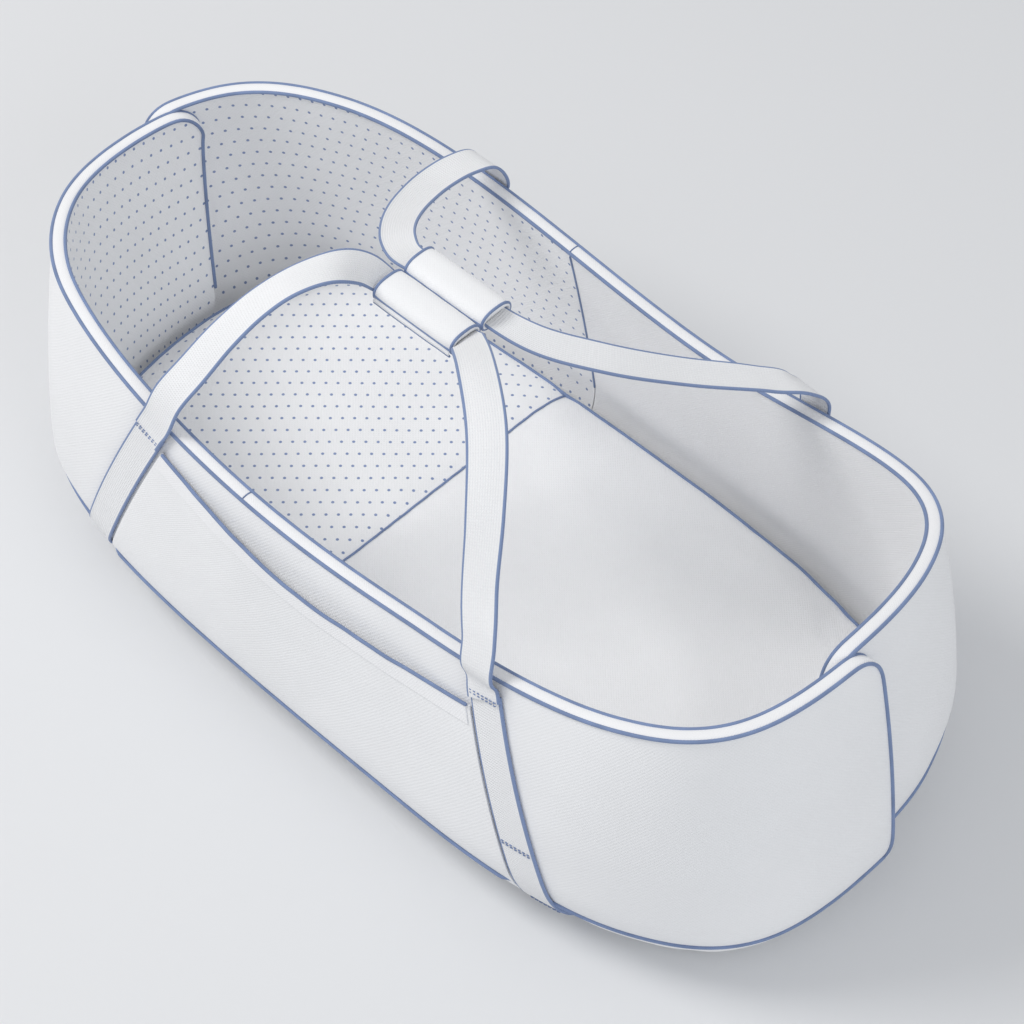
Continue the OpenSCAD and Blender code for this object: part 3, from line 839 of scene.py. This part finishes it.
def puffed(name, R, voxel, frames_n, pressure, cap):
    """Closed cloth skin through the rings R, blown up a little by Blender's cloth so that it crowns between its edges."""
    o = loft(name, R, None, smooth=0)
    rm = o.modifiers.new("remesh", "REMESH")
    rm.mode = "VOXEL"
    rm.voxel_size = voxel
    dg = bpy.context.evaluated_depsgraph_get()
    me = bpy.data.meshes.new_from_object(o.evaluated_get(dg))
    old = o.data
    o.modifiers.clear()
    o.data = me
    bpy.data.meshes.remove(old)
    n = len(me.vertices)
    rest = np.zeros(n * 3)
    me.vertices.foreach_get("co", rest)
    rest = rest.reshape(-1, 3)
    md = o.modifiers.new("cloth", "CLOTH")
    st = md.settings
    st.quality = 5
    st.mass = 0.15
    st.use_pressure = True
    st.uniform_pressure_force = pressure
    st.tension_stiffness = st.compression_stiffness = 12
    st.bending_stiffness = 0.35
    st.shrink_min = -0.02
    st.effector_weights.gravity = 0
    md.collision_settings.use_collision = False
    md.collision_settings.use_self_collision = False
    md.point_cache.frame_start, md.point_cache.frame_end = 1, frames_n
    for f in range(1, frames_n + 1):
        scene.frame_set(f)
    dg = bpy.context.evaluated_depsgraph_get()
    sim = bpy.data.meshes.new_from_object(o.evaluated_get(dg))
    co = np.zeros(n * 3)
    sim.vertices.foreach_get("co", co)
    move = co.reshape(-1, 3) - rest
    bpy.data.meshes.remove(sim)
    o.modifiers.clear()
    scene.frame_set(1)
    l = np.linalg.norm(move, axis=1, keepdims=True)
    move *= np.minimum(1, cap / np.maximum(l, 1e-9))
    co = rest + move
    me.vertices.foreach_set("co", co.ravel())
    me.update()
    return o


R, TP = pad_rings(1.5)
mat = puffed("mattress_whole", R, 0.0065, 20, 3.0, 0.006)
me = mat.data
n = len(me.vertices)
co = np.zeros(n * 3)
me.vertices.foreach_get("co", co)
co = co.reshape(-1, 3) * 1000
up = ramp((co[:, 2] - 44) / 8)
dx = co[:, 0] - SEAM_X
co[:, 2] -= up * (2.8 * np.exp(-((dx / 6.5) ** 2)) + 0.6 * np.sin(co[:, 1] / 3.1 + 1.5 * noise(co[:, 1] / 30, dx / 30, 51)) * np.exp(-np.abs(dx) / 13))
co[:, 2] += up * (0.75 * noise(co[:, 0] / 75 + 4, co[:, 1] / 60 + 8, 52) + 0.35 * noise(co[:, 0] / 30 + 4, co[:, 1] / 26 + 8, 53))
co[:, 2] = np.maximum(co[:, 2], 13.6)
me.vertices.foreach_set("co", (co / 1000).ravel())
me.update()
sub = mat.modifiers.new("sub", "SUBSURF")
sub.levels = sub.render_levels = 1
dg = bpy.context.evaluated_depsgraph_get()
whole = bpy.data.meshes.new_from_object(mat.evaluated_get(dg))
whole.shade_smooth()
bm = bmesh.new()
bm.from_mesh(whole)
tree = BVHTree.FromBMesh(bm)
bm.free()


def half_cover(name, keep_head):
    bm = bmesh.new()
    bm.from_mesh(whole)
    x = SEAM_X / 1000 + (-0.0003 if keep_head else 0.0003)
    cut = bmesh.ops.bisect_plane(bm, geom=bm.verts[:] + bm.edges[:] + bm.faces[:], plane_co=(x, 0, 0), plane_no=(1, 0, 0),
                                 clear_outer=keep_head, clear_inner=not keep_head)
    edges = [e for e in bm.edges if e.is_boundary]
    bmesh.ops.holes_fill(bm, edges=edges, sides=0)
    bmesh.ops.triangulate(bm, faces=[f for f in bm.faces if len(f.verts) > 4])
    bmesh.ops.recalc_face_normals(bm, faces=bm.faces)
    layer = bm.loops.layers.uv.new("UVMap")
    for f in bm.faces:
        for l in f.loops:
            l[layer].uv = (l.vert.co.x, l.vert.co.y)
    m2 = bpy.data.meshes.new(name)
    bm.to_mesh(m2)
    bm.free()
    m2.shade_smooth()
    m2.set_sharp_from_angle(angle=math.radians(55))
    o = bpy.data.objects.new(name, m2)
    scene.collection.objects.link(o)
    return o


bpy.data.objects.remove(mat)
head = half_cover("mattress_head_pad", True)
foot = half_cover("mattress_foot_pad", False)
dress(head, "print_bed")
dress(foot, "lining")
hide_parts("mattress_cover_head")
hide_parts("mattress_cover_foot", "mattress_foam")


def on_top(x, y):
    hit = tree.ray_cast(Vector((x / 1000, y / 1000, 0.3)), Vector((0, 0, -1)))
    return None if hit[0] is None else (np.array(hit[0]) * 1000, np.array(hit[1]))


# piping round the top edge of the mattress
path = []
for T0 in np.linspace(0, 2, 401)[:-1]:
    t = np.array([T0])
    p = (INN.at(t) - INN.nrm(t) * (13.5 + tuck(t))[:, None])[0]
    q = np.array([p[0], p[1], 70.0])
    near = tree.find_nearest(Vector((p[0] / 1000, p[1] / 1000, 0.060)))
    path.append(np.array(near[0]) * 1000 + np.array(near[1]) * 0.35)
path = np.array(path)
for _ in range(3):
    path = 0.25 * np.roll(path, 1, 0) + 0.5 * path + 0.25 * np.roll(path, -1, 0)
dress(tube("mattress_edge_piping", path, 1.5, 4.0, closed=True), "pipe")
# seam between the printed head cloth and the plain foot cloth
ys = np.linspace(-176, 176, 120)
pts = []
for y in ys:
    h = on_top(SEAM_X, y)
    if h is not None and h[0][2] > 47:
        pts.append(h[0] + np.array([0, 0, 0.5]))
dress(tube("mattress_cross_seam", np.array(pts), 0.95, 4.0), "pipe")


# ------------------------------------------------------------------ webbing
def edge_profile(n=9):
    """Across webbing, -1 to 1: half thickness share, with rounded corded edges."""
    u = np.r_[-1, -0.985, -0.95, -0.9, -0.85, np.linspace(-0.8, 0.8, n), 0.85, 0.9, 0.95, 0.985, 1]
    e = (1 - np.abs(u)) * 15
    t = np.where(e < 1.1, np.sqrt(np.maximum(1 - ((1.1 - e) / 1.1) ** 2, 0)) * 1.22, 1.22)
    t = np.where((e >= 1.1) & (np.abs(u) < 0.85), 1.0, t)
    return u, t


def wall_strap(name, side, kind, node):
    v = np.r_[np.linspace(-1, 0, 9)[:-1], np.linspace(0, BV, 20)[:-1], np.linspace(BV, STRAP_TOP, 34)]
    u, t = edge_profile()
    Tc = strap_T(side, kind, v)
    TT = Tc[:, None] + (u * 15 / HALF)[None] * (1 if side > 0 else -1)
    VV = np.broadcast_to(v[:, None], TT.shape)
    o, _ = both(side, TT, VV)
    for _ in range(4):
        o[1:-1] = 0.25 * o[:-2] + 0.5 * o[1:-1] + 0.25 * o[2:]
    n = face_n(TT, VV)
    off = (0.35 + 1.2 + 0.35 * ramp(v / 0.12))[:, None]
    off = np.where(v[:, None] < 0, 1.4, off)
    top = o + n * (off + t[None])[..., None]
    bot = o + n * (off - t[None])[..., None]
    R = np.concatenate([top, bot[:, -2:0:-1]], 1)
    L = run(o[:, len(u) // 2])
    U = np.r_[u, u[-2:0:-1]]
    uv = np.stack(np.broadcast_arrays(U[None], L[:, None] / 1000), -1)
    ob = loft(name, R, uv, smooth=60)
    dress(ob, "web")
    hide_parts(node)
    return ob


def strap_row(side, kind, v0, lift, half=0.86):
    u = np.linspace(-half, half, 24)
    T = strap_T(side, kind, np.full(u.shape, v0)) + u * 15 / HALF
    V = np.full(u.shape, v0)
    o, _ = both(side, T, V)
    n = face_n(T, V)
    return o + n * lift, n


rows = []
for side in (1, -1):
    for kind, kn in ((HEAD_T, "head"), (FOOT_T, "foot")):
        wall_strap(f"wall_strap_{name_of[side]}_{kn}_web", side, kind, f"wall_strap_{name_of[side]}_{kn}")
        rows.append(strap_row(side, kind, 0.155, 3.05))
        rows.append(strap_row(side, kind, 0.163, 3.05))
        if kn == "foot":
            rows.append(strap_row(side, kind, 0.44, 3.05))
            rows.append(strap_row(side, kind, 0.448, 3.05))
for kind, kn in ((HEAD_T, "head"), (FOOT_T, "foot")):
    u, t = edge_profile()
    TT = kind[0] + u * 15 / HALF
    p, _ = both(1, TT, np.full(u.shape, -1.0))
    ts = np.linspace(1, -1, 90)
    top = np.stack(np.broadcast_arrays(p[None, :, 0], p[None, :, 1] * ts[:, None], 1.25 + t[None] * 1.0 + 0 * ts[:, None]), -1)
    bot = top.copy()
    bot[..., 2] = 1.25 - t[None]
    R = np.concatenate([top, bot[:, -2:0:-1]], 1)
    U = np.r_[u, u[-2:0:-1]]
    L = (1 - ts) * abs(p[0, 1]) / 1000
    uv = np.stack(np.broadcast_arrays(U[None], L[:, None]), -1)
    bs = loft(f"base_strap_{kn}_web", R, uv, smooth=60)
    dress(bs, "web")
    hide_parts(f"base_strap_{kn}")

NEAR = [
    [-135, -172, 256, -2, 30], [-125, -154, 281, -5, 30], [-113, -130, 311, -15, 30], [-103, -106, 331, -26, 30],
    [-91, -81, 345, -40, 30], [-80, -53, 346, -56, 29], [-71, -27, 332, -76, 27],
    [-61, -16, 317, -88, 24], [-40, -16, 315, -90, 24], [-20, -16, 315, -90, 24], [0, -16, 315, -90, 24],
    [21, -16, 317, -92, 24], [34, -27, 332, -106, 27],
    [63, -49, 350, -130, 29], [110, -86, 347, -150, 30], [147, -126, 315, -165, 30],
    [168, -153, 277, -175, 30], [185, -171, 252, -180, 30]]
FAR = [
    [-144, 168, 256, 2, 30], [-147, 147, 262, 5, 30], [-146, 118, 267, 12, 30], [-138, 90, 275, 26, 30],
    [-126, 65, 285, 42, 30], [-111, 44, 295, 57, 29], [-94, 28, 304, 72, 28], [-76, 18, 310, 84, 26],
    [-58, 16, 314, 90, 24], [-40, 16, 315, 90, 24], [-20, 16, 315, 90, 24], [0, 16, 315, 90, 24],
    [20, 16, 314, 90, 24], [48, 23, 309, 104, 27], [91, 53, 296, 128, 30],
    [131, 97, 277, 148, 30], [170, 143, 262, 170, 30], [187, 164, 253, 178, 30]]
LAP_V = 0.93


def tail(side, kind, turn):
    """Centre points and width headings of the handle's sewn end, up the wall and past the rim."""
    out = []
    for v in (LAP_V, 0.955, 0.985):
        T = strap_T(side, kind, np.array([v]))
        o, _ = both(side, T, np.array([v]))
        p = (o + face_n(T, np.array([v])) * 4.15)[0]
        d = BASE.at(T + 0.004)[0] - BASE.at(T - 0.004)[0]
        d = RIM.at(T + 0.004)[0] - RIM.at(T - 0.004)[0]
        h = math.degrees(math.atan2(d[1], d[0]))
        h = {(1, 0): h, (1, 1): h - 180, (-1, 0): h + 180, (-1, 1): h + 360}[(side, turn)]
        h = (h + 180) % 360 - 180
        if turn and side > 0 and h > 0:
            h -= 360
        if turn and side < 0 and h < 0:
            h += 360
        out.append([p[0] + CX, p[1], p[2], h, WEB])
    return out


def path_through(P, gap):
    """A smooth curve through unevenly spaced knots, resampled evenly."""
    P = np.asarray(P, float)
    d = np.linalg.norm(np.diff(P[:, :3], axis=0), axis=1)
    s = np.diff(P, axis=0) / d[:, None]
    m = np.concatenate([s[:1], (s[:-1] * d[1:, None] + s[1:] * d[:-1, None]) / (d[:-1] + d[1:])[:, None], s[-1:]])
    t = np.linspace(0, 1, 25)[:-1, None]
    out = [(2 * t**3 - 3 * t**2 + 1) * P[k] + (t**3 - 2 * t**2 + t) * d[k] * m[k] + (3 * t**2 - 2 * t**3) * P[k + 1] + (t**3 - t**2) * d[k] * m[k + 1]
           for k in range(len(d))]
    S = np.concatenate(out + [P[-1:]])
    L = run(S[:, :3])
    u = np.linspace(0, L[-1], int(L[-1] / gap))
    return np.stack([np.interp(u, L, S[:, k]) for k in range(P.shape[1])], -1)


def handle(name, side, P, node):
    P = [list(map(float, p)) for p in P]
    t0, t1 = tail(side, HEAD_T, 0), tail(side, FOOT_T, 1)
    y = side * -1
    P = t0 + [[-142.5, y * 180.6, 229, P[0][3] * 0.5 + t0[-1][3] * 0.5, WEB]] + P + \
        [[192.5, y * 180.2, 228, P[-1][3] * 0.5 + t1[-1][3] * 0.5, WEB]] + t1[::-1]
    S = path_through(P, 2.2)
    S[:, 0] -= CX
    for _ in range(6):
        S[1:-1] = 0.25 * S[:-2] + 0.5 * S[1:-1] + 0.25 * S[2:]
    pos = S[:, :3]
    t = unit(np.gradient(pos, axis=0))
    g = np.stack([np.cos(np.radians(S[:, 3])), np.sin(np.radians(S[:, 3])), np.zeros(len(S))], -1)
    w = unit(g - t * np.sum(g * t, -1, keepdims=True))
    q = np.cross(w, t)
    u, th = edge_profile()
    hw = S[:, 4] / 2
    L = run(pos)
    # webbing cups very slightly across its width where it flexes
    cup = 0.9 * ramp((pos[:, 2] - 240) / 40)
    cr = (u[None] ** 2 - 0.4) * cup[:, None]
    c = pos[:, None] + w[:, None] * (u[None] * hw[:, None])[..., None]
    sgn = 1.0
    top = c + q[:, None] * ((th[None] - cr * sgn)[..., None])
    bot = c - q[:, None] * ((th[None] + cr * sgn)[..., None])
    R = np.concatenate([top, bot[:, -2:0:-1]], 1)
    U = np.r_[u, u[-2:0:-1]]
    uv = np.stack(np.broadcast_arrays(U[None], L[:, None] / 1000), -1)
    o = loft(name, R, uv, smooth=60)
    o.data.materials.append(M["web"])
    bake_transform(o)
    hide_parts(node)
    return o


handle("handle_near_web", 1, NEAR, "handle_near")
handle("handle_far_web", -1, FAR, "handle_far")

for side in (1, -1):
    for kind in (HEAD_T, FOOT_T):
        rows.append(strap_row(side, kind, 0.936, 5.35))
        rows.append(strap_row(side, kind, 0.945, 5.35))
st = stitches("strap_stitching_thread", rows)
dress(st, "thread")
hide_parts("strap_stitching")

# ------------------------------------------------------------------ pocket
POC = (0.254, 0.722, 0.362, 0.667)


def poc_T(f, v):
    return mix(mix(POC[0], POC[2], v), mix(POC[1], POC[3], v), f)


def poc_top(f):
    return 0.91 - 0.04 * f


def pocket_grid(F, Gs, d):
    ff, gg = np.meshgrid(F, Gs, indexing="ij")
    v = mix(0.03, poc_top(ff), gg)
    T = poc_T(ff, v)
    o, _ = both(1, T, v)
    o = soften(o, 3)
    n = face_n(T, v)
    sway = 0.8 * noise(ff * 9 + 3, gg * 4 + 1, 61) * np.sin(np.pi * ff) * gg + 0.35 * noise(ff * 22, gg * 9, 62) * np.sin(np.pi * ff) ** 0.5
    pin = (1 - np.exp(-np.abs(v - PIPE_V) * 230 / 9))
    body = 1.2 * np.sin(np.pi * np.clip(ff, 0, 1)) ** 0.35 * pin * ramp(gg / 0.06) + 0.5
    return o + n * (0.5 + d + body + sway * pin + 9.5 * np.sin(np.pi * ff) ** 1.5 * gg**3)[..., None], n


F = np.linspace(0, 1, 111)
Gs = np.linspace(0, 1, 46)
A, pn = pocket_grid(F, Gs, 1.4)
B, _ = pocket_grid(F, Gs, 0.0)
h = np.cumsum(np.linalg.norm(np.diff(A, axis=1, prepend=A[:, :1]), axis=-1), axis=1)
uv = np.stack([poc_T(F[:, None], 0.5 + 0 * Gs[None]) * HALF / 1000, h / 1000], -1)
pk = slab("pocket_cloth_sheet", A, B, uv)
dress(pk, "pocket")
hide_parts("pocket")
hem_g = np.linspace(0.93, 1.0, 6)
A2, _ = pocket_grid(F[1:-1], hem_g, 2.5)
B2, _ = pocket_grid(F[1:-1], hem_g, 1.5)
hem = slab("pocket_hem_tape", A2, B2, np.stack(np.broadcast_arrays(F[1:-1][:, None] * 0.32, hem_g[None] * 0.16), -1))
dress(hem, "binding")
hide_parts("pocket_hem")
w, l, area = sheet_facts(A)
mouth = (A2[:, -1] + B2[:, -1]) / 2
dress(tube("pocket_mouth_piping", mouth + np.array([0, 0, 0.9]), 1.45, 4.0), "pipe")

# ------------------------------------------------------------------ padded grips
GRIP_X, GRIP_L, GRIP_Z = -20 - CX, 80.0, 315.5


def grip_section(k, scale=1.0):
    a = np.linspace(0, 2 * np.pi, k, endpoint=False)
    c, s = np.cos(a), np.sin(a)
    y = np.sign(c) * np.abs(c) ** 0.75 * 15.2 * scale
    z = np.where(s > 0, np.abs(s) ** 0.9 * 9.0, -np.abs(s) ** 0.6 * 6.2) * scale
    return a, y, z


for side, body in ((1, "near_handle"), (-1, "far_handle")):
    nm = name_of[side]
    a, ys, zs = grip_section(56)
    xs = np.linspace(-40, 40, 61)
    R = []
    for x in xs:
        e = 1 - abs(x) / 40
        puff = 0.955 + 0.045 * (1 - math.exp(-e * 40 / 6))
        wr = 1 + 0.012 * noise(np.full(a.shape, x / 7 + 20), a * 3 + side * 5, 71) * min(1, e * 6)
        R.append(np.stack([np.full(a.shape, x), ys * puff * np.minimum(wr, 1.004), zs * puff * wr], -1))
    # round the end faces inward to the opening the webbing goes through
    inner_y = np.sign(np.cos(a)) * np.abs(np.cos(a)) ** 0.5 * 12.7
    inner_z = np.sin(a) * 3.6 + 0.5
    outer_end = R[-1][:, 1:]
    ends = []
    for k in (0.25, 0.6, 1.0):
        q = np.stack([mix(outer_end[:, 0], inner_y, k), mix(outer_end[:, 1], inner_z, k)], -1)
        ends.append((40 + 0.9 * math.sin(math.pi * k) * 0.6, q))
    inner = np.stack([inner_y, inner_z], -1)
    rings = [r for r in R]
    rings += [np.concatenate([np.full((len(a), 1), x), q], 1) for x, q in ends]
    rings += [np.concatenate([np.full((len(a), 1), x), inner], 1) for x in (30, 10, -10, -30)]
    rings += [np.concatenate([np.full((len(a), 1), -x), q], 1) for x, q in ends[::-1]]
    R = np.array(rings)
    R = R + np.array([GRIP_X, -side * 16, GRIP_Z])
    per = np.r_[0, np.cumsum(np.hypot(np.diff(ys), np.diff(zs)))]
    uv = np.stack(np.broadcast_arrays(per[None] / 1000, R[:, :, 0] / 1000), -1)
    g = loft(f"grip_{nm}_pad", R, uv, closed=True, smooth=60)
    dress(g, "grip", body)
    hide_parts(f"grip_{nm}")
    for e, en in ((-1, "head"), (1, "foot")):
        loop = np.stack([np.full(a.shape, GRIP_X + e * 39.4), ys * 0.965 - side * 16, zs * 0.965 + GRIP_Z], -1)
        dress(tube(f"grip_{nm}_{en}_piping", loop, 1.15, 2.0, closed=True), "pipe", body)
    # lengthwise piping: where the two grips meet, and along the outer side
    xs2 = np.linspace(-39.5, 39.5, 40)
    for o_side, on in ((side, "inner"), (-side, "outer")):
        y = -side * 16 + o_side * 14.55
        z = GRIP_Z + (0.6 if on == "inner" else -0.6)
        line = np.stack([GRIP_X + xs2, np.full(40, y), np.full(40, z)], -1)
        dress(tube(f"grip_{nm}_{on}_piping", line, 1.15, 3.0), "pipe", body)
    # turned-under closing flap along the outer side
    f = np.linspace(0, 1, 7)
    fy = -side * (16 + 15.3 + 0.9 * np.sin(f * np.pi) + 0.2)
    fz = GRIP_Z - 1.6 - 4.6 * f
    xs3 = np.linspace(-38.5, 38.5, 40)
    wob = 0.25 * noise(xs3 / 9 + 3, xs3 * 0 + side, 72)
    A = np.stack([np.broadcast_to(GRIP_X + xs3[:, None], (40, 7)), fy[None] - side * (wob[:, None] * f[None] + 0.5), np.broadcast_to(fz[None], (40, 7))], -1)
    B = A + np.array([0, side * 1.0, 0])
    fl = slab(f"grip_{nm}_flap", A, B, np.stack(np.broadcast_arrays(xs3[:, None] / 1000, f[None] * 0.005), -1))
    dress(fl, "grip", body)
    lip = (A[:, -1] + B[:, -1]) / 2 - np.array([0, 0, 0.3])
    dress(tube(f"grip_{nm}_flap_piping", lip, 1.0, 3.0), "pipe", body)

# ------------------------------------------------------------------ studio
def plane(name, size, z):
    me = bpy.data.meshes.new(name)
    s = size / 2
    me.from_pydata([(-s, -s, z), (s, -s, z), (s, s, z), (-s, s, z)], [], [(0, 1, 2, 3)])
    o = bpy.data.objects.new(name, me)
    scene.collection.objects.link(o)
    return o


floor = plane("floor", 30, 0.0)
fm = Nodes("floor_paint", rough=0.9, sheen=0.0)
fm.color(lin(0.875, 0.88, 0.888))
floor.data.materials.append(fm.mat)

world = bpy.data.worlds.new("studio")
scene.world = world
world.use_nodes = True
bg = world.node_tree.nodes["Background"]
bg.inputs["Color"].default_value = (0.97, 0.98, 1.0, 1)
bg.inputs["Strength"].default_value = 0.60


def area(name, loc, target, size, power, color=(1, 1, 1)):
    li = bpy.data.lights.new(name, "AREA")
    li.shape = "DISK"
    li.size = size
    li.energy = power
    li.color = color
    o = bpy.data.objects.new(name, li)
    scene.collection.objects.link(o)
    o.location = loc
    d = Vector(target) - Vector(loc)
    o.rotation_mode = "QUATERNION"
    o.rotation_quaternion = d.to_track_quat("-Z", "Y")
    return o


area("key", (-1.6, -1.2, 2.6), (0, 0, 0.1), 1.4, 46, (1.0, 0.985, 0.965))
area("fill", (2.4, -0.6, 1.8), (0, 0, 0.1), 2.0, 16, (0.95, 0.975, 1.0))
scene.view_settings.view_transform = "Standard"
scene.view_settings.look = "None"
scene.view_settings.exposure = 0.0
